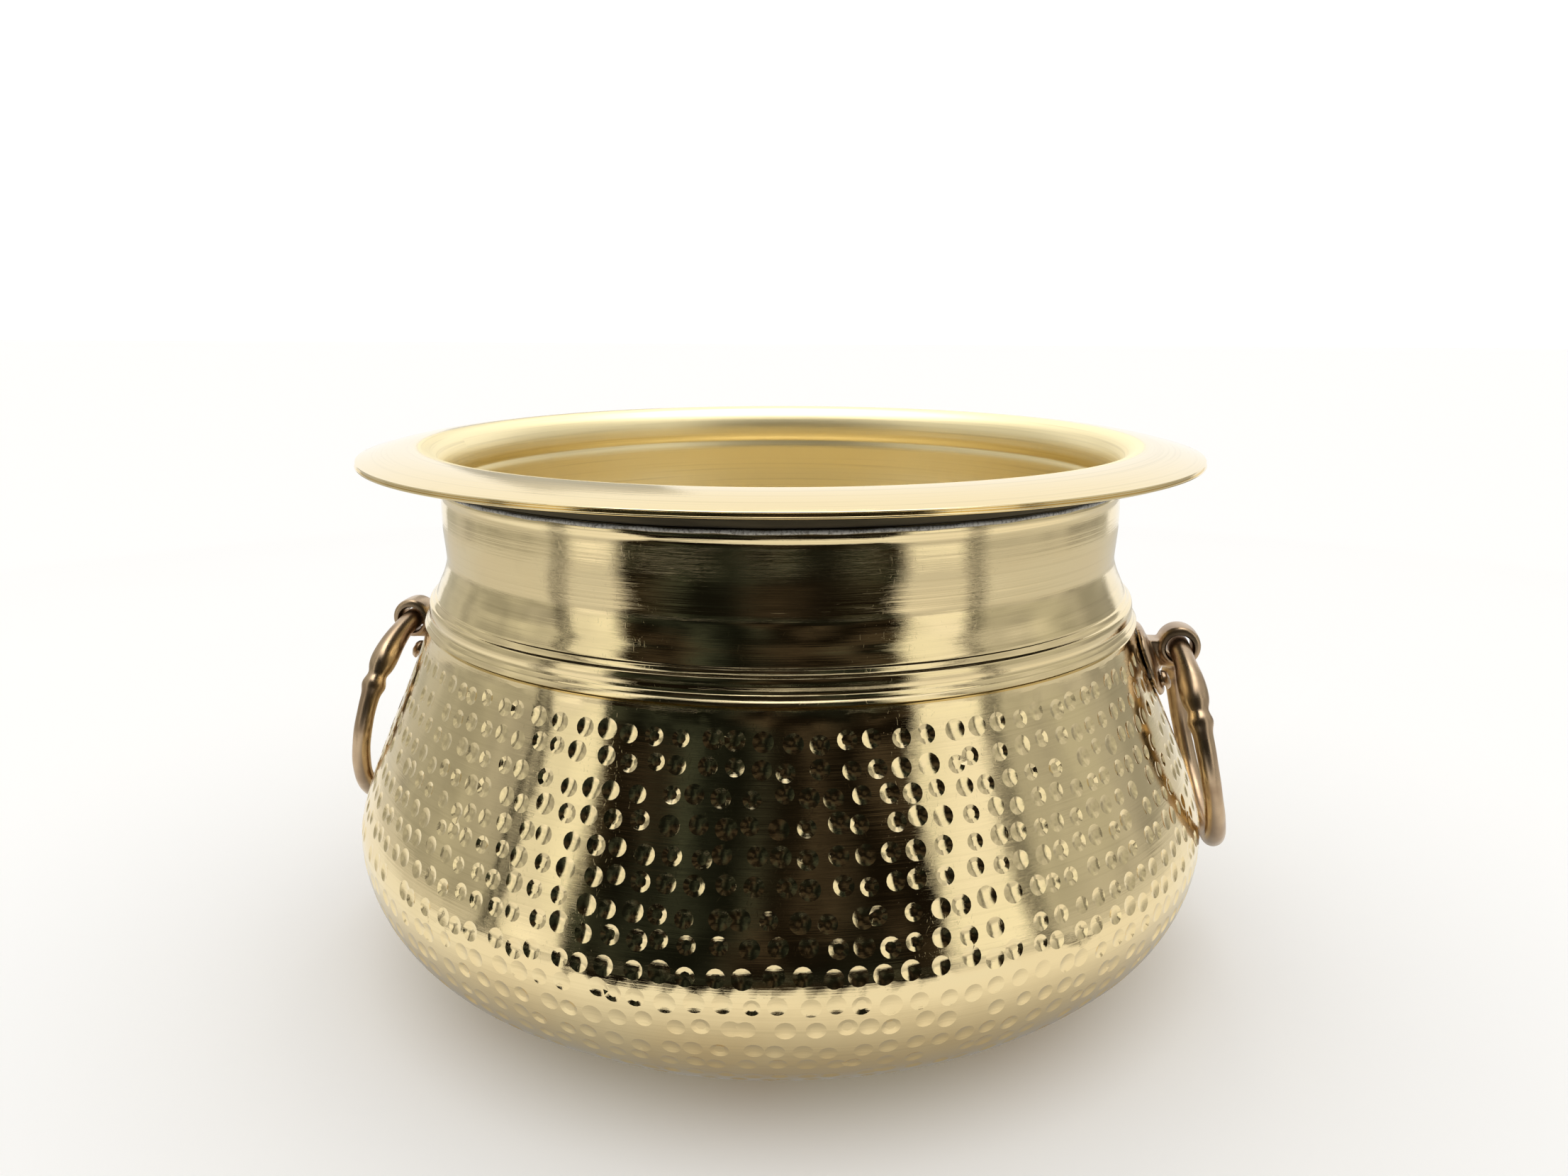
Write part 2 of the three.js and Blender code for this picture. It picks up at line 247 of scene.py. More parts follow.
def merge(*parts):
    """Puts (vertices, faces) parts together, unwelded."""
    vertices = np.vstack([v for v, _ in parts])
    faces, start = [], 0
    for v, f in parts:
        faces.extend(tuple(i + start for i in face) for face in f)
        start += len(v)
    return vertices, faces


def join(*parts):
    """Puts parts together and welds the vertices that coincide."""
    vertices, faces = merge(*parts)
    _, first, where = np.unique(np.round(vertices / WELD_DISTANCE).astype(np.int64), axis=0,
                                return_index=True, return_inverse=True)
    where = where.ravel()
    welded = [tuple(dict.fromkeys(where[list(face)].tolist())) for face in faces]
    return vertices[first], [face for face in welded if len(face) > 2]


def make(name, vertices, faces, material, sharp_deg=None):
    mesh = bpy.data.meshes.new(name)
    mesh.from_pydata((np.asarray(vertices) * MM).tolist(), [], faces)
    mesh.validate()
    mesh.shade_smooth()
    piece = bpy.data.objects.new(name, mesh)
    bpy.context.scene.collection.objects.link(piece)
    face_outwards(mesh)
    if sharp_deg:
        mesh.set_sharp_from_angle(angle=math.radians(sharp_deg))
    mesh.materials.append(material)
    return piece


def face_outwards(mesh):
    shape = bmesh.new()
    shape.from_mesh(mesh)
    bmesh.ops.recalc_face_normals(shape, faces=shape.faces)
    if shape.calc_volume(signed=True) < 0:
        bmesh.ops.reverse_faces(shape, faces=shape.faces)
    shape.to_mesh(mesh)
    shape.free()


def finish_piece(piece, body, node):
    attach(piece, body)
    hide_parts(node)


# ---------------------------------------------------------------- hammered bowl

class Surface:
    """A turned surface with a map from its outline to a plane where small circles stay circles."""

    def __init__(self, outline):
        self.outline = outline
        self.normal = normals(outline)
        step = np.linalg.norm(np.diff(outline, axis=0), axis=1)
        middle = (outline[1:, 0] + outline[:-1, 0]) / 2
        self.length = np.concatenate([[0], np.cumsum(step)])
        self.level = np.concatenate([[0], np.cumsum(step / middle)])

    def radius(self, level):
        return np.interp(level, self.level, self.outline[:, 0])

    def level_at(self, length):
        return np.interp(length, self.length, self.level)

    def place(self, angle, level, inward):
        """Points in space for places on the plane, pushed inwards by a distance."""
        r, z, nr, nz = (np.interp(level, self.level, column) for column in
                        (*self.outline.T, *self.normal.T))
        r = r - nr * inward
        z = z - nz * inward
        return np.stack([r * np.cos(angle), r * np.sin(angle), z], 1)


def hammer_marks(surface):
    """Every mark as angle, length along the outline, radius and depth, row by row from the top."""
    lower = surface.outline[:OUTLINE_STEPS]
    top = float(np.interp(FIRST_ROW_HEIGHT, surface.outline[:, 1], surface.length))
    bottom = float(np.interp(HAMMERED_FROM_RADIUS + 4, lower[:, 0], surface.length[:OUTLINE_STEPS]))
    marks = []
    for row in range(int((top - bottom) / ROW_PITCH) + 1):
        length = top - row * ROW_PITCH
        radius = float(np.interp(length, surface.length, surface.outline[:, 0]))
        count = round(TAU * radius / MARK_PITCH)
        step = TAU / count
        angle = (np.arange(count) + rng.uniform()) * step + rng.normal(0, 0.9, count) / radius
        wander = 0.55 * np.sin(angle * rng.integers(2, 6) + rng.uniform(0, TAU))
        place = length + wander + rng.normal(0, 0.5, count)
        size = MARK_RADIUS * rng.normal(1, 0.06, count).clip(0.86, 1.16)
        depth = MARK_DEPTH * rng.normal(1, 0.18, count).clip(0.6, 1.5)
        keep = rng.uniform(size=count) > 0.035
        marks.append(np.stack([angle % TAU, place, size, depth], 1)[keep])
    return np.vstack(marks)


def mark_depth(surface, marks, angle, level, soft=False):
    """How far the hammer marks push the surface in at each point, and the deepest mark's number."""
    depth = np.zeros(len(angle))
    which = np.full(len(angle), -1)
    mark_level = surface.level_at(marks[:, 1])
    mark_radius = surface.radius(mark_level)
    order = np.argsort(level)
    for chunk in np.array_split(order, max(1, len(order) // 1500)):
        low, high = level[chunk].min() - NEAR_LEVEL, level[chunk].max() + NEAR_LEVEL
        near = np.flatnonzero((mark_level > low) & (mark_level < high))
        if not len(near):
            continue
        turn = (angle[chunk][:, None] - marks[near, 0] + math.pi) % TAU - math.pi
        rise = level[chunk][:, None] - mark_level[near]
        ratio = (turn**2 + rise**2) * (mark_radius[near] / marks[near, 2]) ** 2
        each = marks[near, 3] * (np.exp(-1.3 * ratio) if soft else np.maximum(1 - ratio, 0))
        depth[chunk] = each.max(1)
        which[chunk] = near[each.argmax(1)]
    return depth, which


def body_waves(angle, height):
    """Slow unevenness of the raised sheet, always inwards."""
    wave = np.zeros(len(angle))
    shaker = np.random.default_rng(21)
    for _ in range(14):
        turns = shaker.integers(3, 15)
        rise = shaker.uniform(0.02, 0.11)
        wave += np.sin(turns * angle + rise * height + shaker.uniform(0, TAU)) / 14
    return 0.16 + 0.45 * wave.clip(-0.35, 0.35)


def copies(angle):
    """An angle and its repeats just past both ends of the circle, so that the skin closes on itself."""
    near = OVERLAP_COLUMNS * TAU / COLUMNS
    return [angle + turn for turn in (-TAU, 0, TAU) if -near < angle + turn < TAU + near]


def edge_rows(surface):
    """The skin's first and last rows: evenly spaced points, and the edges that join them."""
    points, edges = [], []
    column = np.arange(-OVERLAP_COLUMNS, COLUMNS + OVERLAP_COLUMNS) * TAU / COLUMNS
    for level in (surface.level[0], surface.level[-1]):
        start = len(points)
        points.extend((a, level) for a in column)
        edges.extend((start + i, start + i + 1) for i in range(len(column) - 1))
    return points, edges


def mark_rings(surface, marks, rings):
    """Rings of points round every mark, as rows of angle, level, mark number, share and count."""
    mark_level = surface.level_at(marks[:, 1])
    mark_radius = surface.radius(mark_level)
    points = []
    for n, (angle, _, size, _) in enumerate(marks):
        spread = size / mark_radius[n]
        for share, count in rings:
            turn = (np.arange(count) + 0.5 * (share < 1) + 0.31 * (n % 3)) * TAU / count
            for k in turn:
                points.append((angle + share * spread * math.cos(k),
                               mark_level[n] + share * spread * math.sin(k), n, share, count))
    return np.array(points)


def add_ring(points, edges, ring, hidden, crisp):
    """Adds one ring round a mark, without the points that lie in another mark, and its crisp edge."""
    for turn in {round(a - ring[0, 0], 6) for a in copies(ring[0, 0])}:
        index = {}
        for k in range(len(ring)):
            if not hidden[k]:
                index[k] = len(points)
                points.append((ring[k, 0] + turn, ring[k, 1]))
        if crisp:
            for k in range(len(ring)):
                j = (k + 1) % len(ring)
                if k in index and j in index:
                    edges.append((index[k], index[j]))


def flat_points(surface, marks):
    """Scattered points for the smooth sheet between the marks."""
    angles, levels = [], []
    for length in np.arange(1.6, surface.length[-1] - 1, FLAT_SPACING):
        level = float(surface.level_at(length))
        radius = float(surface.radius(level))
        count = round(TAU * radius / FLAT_PITCH)
        angle = (np.arange(count) + rng.uniform()) * TAU / count + rng.normal(0, 0.3, count) / radius
        angles.append(angle % TAU)
        levels.append(level + rng.normal(0, 0.3, count) / radius)
    angles, levels = np.concatenate(angles), np.concatenate(levels)
    swollen = marks * np.array([1, 1, 1.24, 1])
    clear = mark_depth(surface, swollen, angles, levels)[0] == 0
    clear &= (levels > surface.level[0] + 0.006) & (levels < surface.level[-1] - 0.006)
    return [(a, level) for angle, level in zip(angles[clear], levels[clear]) for a in copies(angle)]


def hammered_skin(surface, marks, rings, soft, push):
    """A triangulated skin between the outline's ends. Each mark has rings of (share of radius, points)."""
    bottom, top = surface.level[0], surface.level[-1]
    points, edges = edge_rows(surface)
    ring = mark_rings(surface, marks, rings)
    depth, which = mark_depth(surface, marks, ring[:, 0] % TAU, ring[:, 1])
    hidden = (ring[:, 3] == 1) & (depth > 0.03 * MARK_DEPTH) & (which != ring[:, 2])
    inside = (ring[:, 1] > bottom + 0.004) & (ring[:, 1] < top - 0.004)
    i = 0
    while i < len(ring):
        block = slice(i, i + int(ring[i, 4]))
        if inside[block].all():
            add_ring(points, edges, ring[block], hidden[block], ring[i, 3] == 1 and not soft)
        i = block.stop
    points.extend(flat_points(surface, marks))
    flat, _, faces, *_ = delaunay_2d_cdt([Vector(p) for p in points], edges, [], 0, 1e-9)
    flat = np.array([tuple(p) for p in flat])
    faces = [f for f in faces if 0 <= sum(flat[k, 0] for k in f) / len(f) < TAU]
    depth, _ = mark_depth(surface, marks, flat[:, 0] % TAU, flat[:, 1], soft)
    height = np.interp(flat[:, 1], surface.level, surface.outline[:, 1])
    edge = np.minimum(flat[:, 1] - bottom, top - flat[:, 1])
    fade = np.clip(edge / 0.05, 0, 1)
    inward = (depth * push + body_waves(flat[:, 0], height)) * fade
    return surface.place(flat[:, 0], flat[:, 1], inward), faces


def build_bowl(material):
    outline = belly_outline()
    inner = moved(outline, -BOWL_WALL)
    start = int(np.argmax(outline[:, 0] > HAMMERED_FROM_RADIUS))
    outer_skin = Surface(outline[start:])
    inner_skin = Surface(inner[start:])
    marks = hammer_marks(outer_skin)
    inner_marks = marks.copy()
    inner_marks[:, 1] *= inner_skin.length[-1] / outer_skin.length[-1]
    outside = hammered_skin(outer_skin, marks, OUTER_RINGS, False, 1.0)
    inside = hammered_skin(inner_skin, inner_marks, INNER_RINGS, True, INNER_PUSH)
    lip_inner = LIP_RADIUS - BOWL_WALL
    lip = rounded([
        (*outline[-1], 0),
        (SHOULDER_RADIUS - 0.6, SHOULDER_HEIGHT + 0.5, 0.4),
        (LIP_RADIUS, SHOULDER_HEIGHT + 3.9, 2),
        (LIP_RADIUS, LIP_TOP, 0.4),
        (lip_inner, LIP_TOP, 0.4),
        (lip_inner, SHOULDER_HEIGHT + 3.5, 2),
        (*inner[-1], 0),
    ])
    flat = np.array([0, *np.linspace(6, BASE_RADIUS, 12)])
    under = np.vstack([np.stack([flat, 0 * flat], 1), outline[1:start + 1]])
    floor = np.vstack([np.stack([flat, 0 * flat + BOWL_WALL], 1), inner[1:start + 1]])
    vertices, faces = join(outside, inside, lathe(lip), lathe(under), lathe(floor))
    bowl = make("hammered_bowl", vertices, faces, material, sharp_deg=8.5)
    finish_piece(bowl, "vessel", "lower_bowl")
    return bowl


# ---------------------------------------------------------------- neck and brim

def neck_outer():
    """The neck sheet's outer side, from the skirt's lower edge up to the underside of the brim."""
    skirt = rounded([
        (SEAM_RADIUS, SEAM_HEIGHT, 0),
        (SEAM_RADIUS - 0.75, SEAM_HEIGHT + 1.25, 0),
        (SEAM_RADIUS - 0.95, SEAM_HEIGHT + 1.4, 0.15),
        (SEAM_RADIUS - 1.0, SEAM_HEIGHT + 1.75, 0.15),
        (SEAM_RADIUS - 1.55, SEAM_HEIGHT + 2.6, 0.1),
        (SEAM_RADIUS - 1.75, SEAM_HEIGHT + 2.8, 0.1),
        (SEAM_RADIUS - 1.95, SEAM_HEIGHT + 3.5, 0.5),
        (SEAM_RADIUS - 1.7, SEAM_HEIGHT + 5.4, 1.6),
        (SEAM_RADIUS - 2.1, SEAM_HEIGHT + 7.4, 0.5),
        (SEAM_RADIUS - 3.2, SEAM_HEIGHT + 8.0, 0.8),
        (SEAM_RADIUS - 4.0, SEAM_HEIGHT + 9.4, 0.3),
        (SEAM_RADIUS - 4.6, SEAM_HEIGHT + 9.8, 0.4),
        (SEAM_RADIUS - 5.2, SEAM_HEIGHT + 11.4, 1),
        (SEAM_RADIUS - 6.0, SEAM_HEIGHT + 13.3, 0),
    ])
    waist = spline([
        (NECK_RADIUS + 2.7, SEAM_HEIGHT + 13.3),
        (NECK_RADIUS + 1.5, SEAM_HEIGHT + 16.1),
        (NECK_RADIUS + 0.4, SEAM_HEIGHT + 19.8),
        (NECK_RADIUS, SEAM_HEIGHT + 22.5),
        (NECK_RADIUS + 0.2, SEAM_HEIGHT + 25.9),
        (NECK_RADIUS + 0.8, SEAM_HEIGHT + 33.5),
        (NECK_RADIUS + 0.9, SEAM_HEIGHT + 39.5),
        (NECK_RADIUS + 0.9, SEAM_HEIGHT + 44),
        (NECK_RADIUS + 1.5, SEAM_HEIGHT + 46.9),
        (THROAT_RADIUS + 0.1, THROAT_HEIGHT - 2.4),
        (THROAT_RADIUS, THROAT_HEIGHT),
    ], 8)
    flare = arc((CREST_RADIUS, THROAT_HEIGHT), 1, 180, 90, 16) - (CREST_RADIUS, THROAT_HEIGHT)
    flare = flare * (CREST_RADIUS - THROAT_RADIUS, CREST_TOP - NECK_SHEET - THROAT_HEIGHT)
    flare = flare + (CREST_RADIUS, THROAT_HEIGHT)
    end = np.array([RIM_RADIUS - 1.8, CREST_TOP - 4.0])
    brim = bezier(flare[-1], flare[-1] + (6.5, 0), end - (6.5, -1.9), end, 24)
    return np.vstack([skirt[:-1], waist, flare[1:], brim[1:]])


def rim_edge():
    """The turned-down edge from the brim's top, over a groove and a thin bead, to the underside."""
    reach, level = RIM_RADIUS, CREST_TOP - 4.0
    return rounded([
        (reach - 1.5, level + 0.95, 0),
        (reach - 0.5, level + 0.75, 0.4),
        (reach - 0.35, level + 0.35, 0.2),
        (reach - 1.15, level + 0.15, 0.3),
        (reach - 1.2, level - 0.45, 0.3),
        (reach - 0.25, level - 0.6, 0.2),
        (reach - 0.15, level - 1.0, 0.2),
        (reach - 0.7, level - 1.3, 0.3),
        (reach - 1.1, level - 1.3, 0.1),
        (reach - 1.3, level - 0.6, 0.3),
        (reach - 1.75, level - 0.15, 0),
    ], 5)


def neck_dents(angle, height):
    """Shallow creases and flats of a hand-finished neck, always inwards, fading at its top and foot."""
    shaker = np.random.default_rng(5)
    dent = np.zeros(len(angle))
    for _ in range(30):
        centre = shaker.uniform(0, TAU)
        level = shaker.uniform(146, 174)
        wide = shaker.uniform(6, 24) / NECK_RADIUS
        tall = shaker.uniform(2.5, 8)
        slant = shaker.uniform(-0.25, 0.25) * NECK_RADIUS
        turn = (angle - centre + math.pi) % TAU - math.pi
        rise = height - level - slant * turn
        dent += shaker.uniform(0.02, 0.09) * np.exp(-(turn / wide) ** 2 - (rise / tall) ** 2)
    for turns in (3, 5, 8, 11):
        dent += 0.03 * (1 + np.sin(turns * angle + shaker.uniform(0, TAU) + 0.05 * height))
    fade = np.clip((height - 142) / 8, 0, 1) * np.clip((182 - height) / 8, 0, 1)
    return dent * fade


def build_neck(material):
    outer = neck_outer()
    inner = outer - normals(outer) * NECK_SHEET
    section = np.vstack([outer, rim_edge()[::-1], inner[::-1]])
    vertices, faces = lathe(section, closed=True)
    angle = np.arctan2(vertices[:, 1], vertices[:, 0])
    radius = np.hypot(vertices[:, 0], vertices[:, 1])
    waist = radius < NECK_RADIUS + 3
    squeeze = 1 - np.where(waist, neck_dents(angle, vertices[:, 2]), 0) / radius
    vertices[:, :2] *= squeeze[:, None]
    wobble = np.clip((radius - 126) / 20, 0, 1) * (vertices[:, 2] > CONE_OUTER_HEIGHT - 1)
    vertices[:, 2] -= wobble * 0.1 * (1 + np.sin(2 * angle + 1) * 0.6 + np.sin(5 * angle) * 0.4)
    neck = make("neck_and_brim", vertices, faces, material, sharp_deg=50)
    finish_piece(neck, "vessel", "neck_collar")


def build_brim_underside(material):
    """The cone of sheet that closes the brim from below, coloured near black as painted shade."""
    section = np.array([
        (CONE_INNER_RADIUS, CONE_INNER_HEIGHT),
        (CONE_OUTER_RADIUS - 0.3, CONE_OUTER_HEIGHT - 0.1),
        (CONE_OUTER_RADIUS, CONE_OUTER_HEIGHT),
        (CONE_OUTER_RADIUS - 0.3, CONE_OUTER_HEIGHT + CONE_SHEET - 0.1),
        (CONE_INNER_RADIUS, CONE_INNER_HEIGHT + CONE_SHEET),
    ])
    vertices, faces = lathe(section, closed=True)
    cone = make("brim_closing_cone", vertices, faces, material, sharp_deg=40)
    finish_piece(cone, "vessel", "brim_underside")


def build_solder(material):
    """The bead of solder under the brim, a little uneven in thickness and height."""
    centre = np.array([SOLDER_CENTRE_RADIUS, SOLDER_CENTRE_HEIGHT])
    section = arc(centre, SOLDER_RADIUS, 0, 360, 14)[:-1]
    vertices, faces = lathe(section, closed=True)
    angle = np.arctan2(vertices[:, 1], vertices[:, 0])
    swell = 1 + 0.12 * np.sin(23 * angle + 1) * np.sin(9 * angle) + 0.1 * np.sin(57 * angle)
    vertices[:, 2] = centre[1] + (vertices[:, 2] - centre[1]) * swell + 0.08 * np.sin(31 * angle)
    bead = make("solder_bead", vertices, faces, material)
    finish_piece(bead, "vessel", "solder_seam")


# ---------------------------------------------------------------- handles

def side_matrix(side):
    return Matrix.Rotation(0 if side == "right" else math.pi, 4, "Z")


def ring_stock(degrees):
    """The ring's half thickness at an angle from its top: a swelling, a groove, then a collar."""
    def bump(centre, width):
        return np.exp(-(((degrees - centre) / width) ** 2))

    def ease(low, high):
        t = np.clip((degrees - low) / (high - low), 0, 1)
        return t * t * (3 - 2 * t)

    swelling = 1.1 * bump(SWELLING_ANGLE, 15) - 0.5 * bump(GROOVE_ANGLE, 3)
    collar = 0.9 * bump(COLLAR_ANGLE, 4)
    slimming = 0.5 * ease(SWELLING_ANGLE, COLLAR_ANGLE) * (1 - ease(100, 160))
    return RING_STOCK + swelling + collar - slimming


def build_ring(side, material):
    around, about = RING_COLUMNS, RING_SECTION
    turn = np.linspace(0, TAU, around, endpoint=False)
    degrees = np.degrees(np.minimum(turn, TAU - turn))
    stock = ring_stock(degrees)
    shaker = np.random.default_rng(3 if side == "right" else 4)
    for waves in (5, 9, 17):
        stock = stock + 0.035 * np.sin(waves * turn + shaker.uniform(0, TAU))
    section = np.linspace(0, TAU, about, endpoint=False)
    reach = RING_RADIUS + np.outer(stock, np.cos(section))
    y = reach * np.sin(turn)[:, None]
    along = RING_RADIUS - reach * np.cos(turn)[:, None]
    across = np.outer(stock, np.sin(section))
    x = HINGE_RADIUS + along * math.sin(RING_LEAN) + across * math.cos(RING_LEAN)
    z = HINGE_HEIGHT - along * math.cos(RING_LEAN) + across * math.sin(RING_LEAN)
    vertices = np.stack([x, y, z], 2).reshape(-1, 3)
    faces = []
    for i in range(around):
        for j in range(about):
            a, b = i * about + j, i * about + (j + 1) % about
            c, d = ((i + 1) % around) * about + (j + 1) % about, ((i + 1) % around) * about + j
            faces.append((a, b, c, d))
    ring = make(f"{side}_ring_handle", vertices, faces, material)
    ring.data.transform(side_matrix(side))
    finish_piece(ring, f"{side}_handle", f"{side}_ring")


def wall_frame(outline, azimuth, height):
    """A matrix whose Z is the wall's outward normal at a place on the belly's outline."""
    point, normal = at_height(outline, height)
    out = Vector((normal[0], 0, normal[1]))
    matrix = out.to_track_quat("Z", "Y").to_matrix().to_4x4()
    matrix.translation = Vector((point[0], 0, point[1]))
    return Matrix.Rotation(azimuth, 4, "Z") @ matrix


def plate_edge(points):
    """The plate's rim, narrower towards its top: places along Y, and heights from its middle."""
    turn = np.linspace(0, TAU, points, endpoint=False)
    y = PLATE_WIDTH / 2 * np.sign(np.cos(turn)) * np.abs(np.cos(turn)) ** PLATE_SQUARENESS
    z = PLATE_HALF_HEIGHT * np.sign(np.sin(turn)) * np.abs(np.sin(turn)) ** PLATE_SQUARENESS
    return y * np.where(z > 0, 1 - PLATE_TAPER * (z / TAPER_HEIGHT) ** 2, 1), z


def plate_solid(outline):
    """The lug's back plate: a rounded shield that follows the belly, with a domed face."""
    rings, around = 26, 120
    y, z = plate_edge(around)
    middle = (PLATE_TOP + PLATE_BOTTOM) / 2
    vertices = []
    for layer in (1, 0):
        for share in np.linspace(1, 0.02, rings):
            crown = (1 - share**6) ** 0.5
            for yy, zz in zip(y * share, z * share):
                near = abs(zz) / PLATE_HALF_HEIGHT
                point, normal = at_height(outline, middle + zz)
                dome = 1.2 + (PLATE_THICKNESS - 1.5) * crown * (1 - 0.12 * near)
                rise = GAP + 0.05 + layer * dome
                radius = math.sqrt(max((point[0] + normal[0] * rise) ** 2 - yy**2, 1))
                vertices.append((radius, yy, point[1] + normal[1] * rise))
    faces = []
    for layer in (0, 1):
        base = layer * rings * around
        for i in range(rings - 1):
            low, high = base + i * around, base + (i + 1) * around
            for j in range(around):
                k = (j + 1) % around
                faces.append((low + j, low + k, high + k, high + j))
        faces.append(tuple(base + (rings - 1) * around + j for j in range(around)))
    for j in range(around):
        k = (j + 1) % around
        faces.append((j, k, rings * around + k, rings * around + j))
    return np.array(vertices), faces


def about_hinge(outline, rise=0.0, columns=72):
    """An outline of (radius, place along Y) turned round the hinge axis."""
    vertices, faces = lathe(outline, columns)
    x, y, z = vertices.T
    return np.stack([HINGE_RADIUS + x, z, HINGE_HEIGHT + rise + y], 1), faces


def solid_piece(name, part):
    return make(name, *part, bpy.data.materials.new("blank"))


def cut(piece, cutter):
    change = piece.modifiers.new("cut", "BOOLEAN")
    change.operation = "DIFFERENCE"
    change.solver = "EXACT"
    change.object = cutter
    apply_modifiers(piece)
    bpy.data.objects.remove(cutter)


def apply_modifiers(piece):
    bpy.context.view_layer.update()
    ready = piece.evaluated_get(bpy.context.evaluated_depsgraph_get())
    mesh = bpy.data.meshes.new_from_object(ready)
    piece.modifiers.clear()
    piece.data = mesh


def eye_and_web():
    """The lug's eye, and the block that joins it to the plate."""
    half = EYE_WIDTH / 2
    eye = about_hinge(rounded([
        (0, -half, 0),
        (EYE_RADIUS - 0.2, -half, 1.5),
        (EYE_RADIUS + 0.15, 0, 3),
        (EYE_RADIUS - 0.2, half, 1.5),
        (0, half, 0),
    ], 6), EYE_RISE)
    reach = (SHOULDER_RADIUS + GAP + 2, HINGE_RADIUS - 1)
    width = (-half + 0.8, half - 0.8)
    corners = np.array([(x, y, z) for x in reach for y in width for z in (WEB_BOTTOM, WEB_TOP)])
    sides = [(0, 1, 3, 2), (4, 6, 7, 5), (0, 4, 5, 1), (2, 3, 7, 6), (0, 2, 6, 4), (1, 5, 7, 3)]
    return eye, (corners, sides)


def eye_bore():
    """The eye's hole, wider at both ends."""
    half = EYE_WIDTH / 2
    mouth = EYE_HOLE_RADIUS + 1.5
    return about_hinge(np.array([
        (0, -half - 2),
        (mouth, -half - 2),
        (EYE_HOLE_RADIUS, -half + 1.2),
        (EYE_HOLE_RADIUS, half - 1.2),
        (mouth, half + 2),
        (0, half + 2),
    ]))


def build_lug(side, material):
    """A casting: the plate, a web and the eye are fused, softened, then the eye and rivet holes are cut."""
    outline = belly_outline()
    lug = solid_piece(f"{side}_lug_casting", merge(plate_solid(outline), *eye_and_web()))
    voxels = lug.modifiers.new("fuse", "REMESH")
    voxels.mode = "VOXEL"
    voxels.voxel_size = 0.36 * MM
    soft = lug.modifiers.new("soften", "SMOOTH")
    soft.factor = 0.6
    soft.iterations = 7
    apply_modifiers(lug)
    hole_radius = RIVET_SHANK + GAP
    hole = lathe(np.array([(0, -8), (hole_radius, -8), (hole_radius, 12), (0, 12)]), 40)
    for matrix in rivet_frames(outline).values():
        cutter = solid_piece("hole", hole)
        cutter.data.transform(scaled(matrix))
        cut(lug, cutter)
    cut(lug, solid_piece("bore", eye_bore()))
    lug.data.materials.clear()
    lug.data.materials.append(material)
    lug.data.shade_smooth()
    lug.data.set_sharp_from_angle(angle=math.radians(40))
    lug.data.transform(side_matrix(side))
    finish_piece(lug, "vessel", f"{side}_lug")


def scaled(matrix):
    """The same placing for a mesh in metres."""
    out = matrix.copy()
    out.translation = matrix.translation * MM
    return out


def rivet_frames(outline):
    return {name: wall_frame(outline, sign * RIVET_AZIMUTH, RIVET_HEIGHT)
            for name, sign in (("front", -1), ("rear", 1))}


def rivet_profile(head, tail):
    """A rivet from its tail inside the bowl to its domed head, by the levels where both start."""
    return rounded([
        (0, tail - 1.7, 0),
        (2.2, tail - 1.6, 1.2),
        (3.2, tail - 0.4, 0.5),
        (3.2, tail, 0.15),
        (RIVET_SHANK, tail, 0),
        (RIVET_SHANK, head, 0),
        (RIVET_HEAD_RADIUS, head, 0.15),
        (RIVET_HEAD_RADIUS, head + 0.5, 0.5),
        (RIVET_HEAD_RADIUS * 0.75, head + RIVET_HEAD_HEIGHT, 2.2),
        (0, head + RIVET_HEAD_HEIGHT, 0),
    ], 6)


def burr_profile():
    outer = -BOWL_WALL - INNER_GAP
    inner = outer - BURR_THICKNESS
    return rounded([
        (RIVET_SHANK + GAP, outer, 0),
        (RIVET_SHANK + GAP, inner, 0),
        (BURR_RADIUS - 0.2, inner, 0.3),
        (BURR_RADIUS, outer, 0.3),
        (RIVET_SHANK + GAP, outer, 0),
    ])[:-1]


def build_rivets(side, material):
    """Two rivets and their burrs, each placed by a frame on the belly's wall."""
    head = 2 * GAP + PLATE_THICKNESS - 0.35
    tail = -BOWL_WALL - INNER_GAP - BURR_THICKNESS - GAP
    shank, faces = lathe(rivet_profile(head, tail), 48)
    parts = {
        "rivet": (hammered_heads(shank, head), faces),
        "burr": lathe(burr_profile(), 48, closed=True),
    }
    for name, matrix in rivet_frames(belly_outline()).items():
        for kind, part in parts.items():
            piece = make(f"{side}_{kind}_{name}_detail", *part, material, sharp_deg=50)
            piece.data.transform(side_matrix(side) @ scaled(matrix))
            finish_piece(piece, "vessel", f"{side}_{kind}_{name}")


def hammered_heads(vertices, head):
    """Small flats on a rivet's head and tail, as a hammer leaves them."""
    x, y, z = vertices.T
    ends = np.where(z > head + 0.6, -1, 0) + np.where(z < -BOWL_WALL - 3.4, 1, 0)
    flats = 0.12 * (1 + np.sin(2.1 * x + 0.7) * np.sin(1.9 * y + 1.3))
    return np.stack([x, y, z + ends * flats], 1)


# ---------------------------------------------------------------- materials

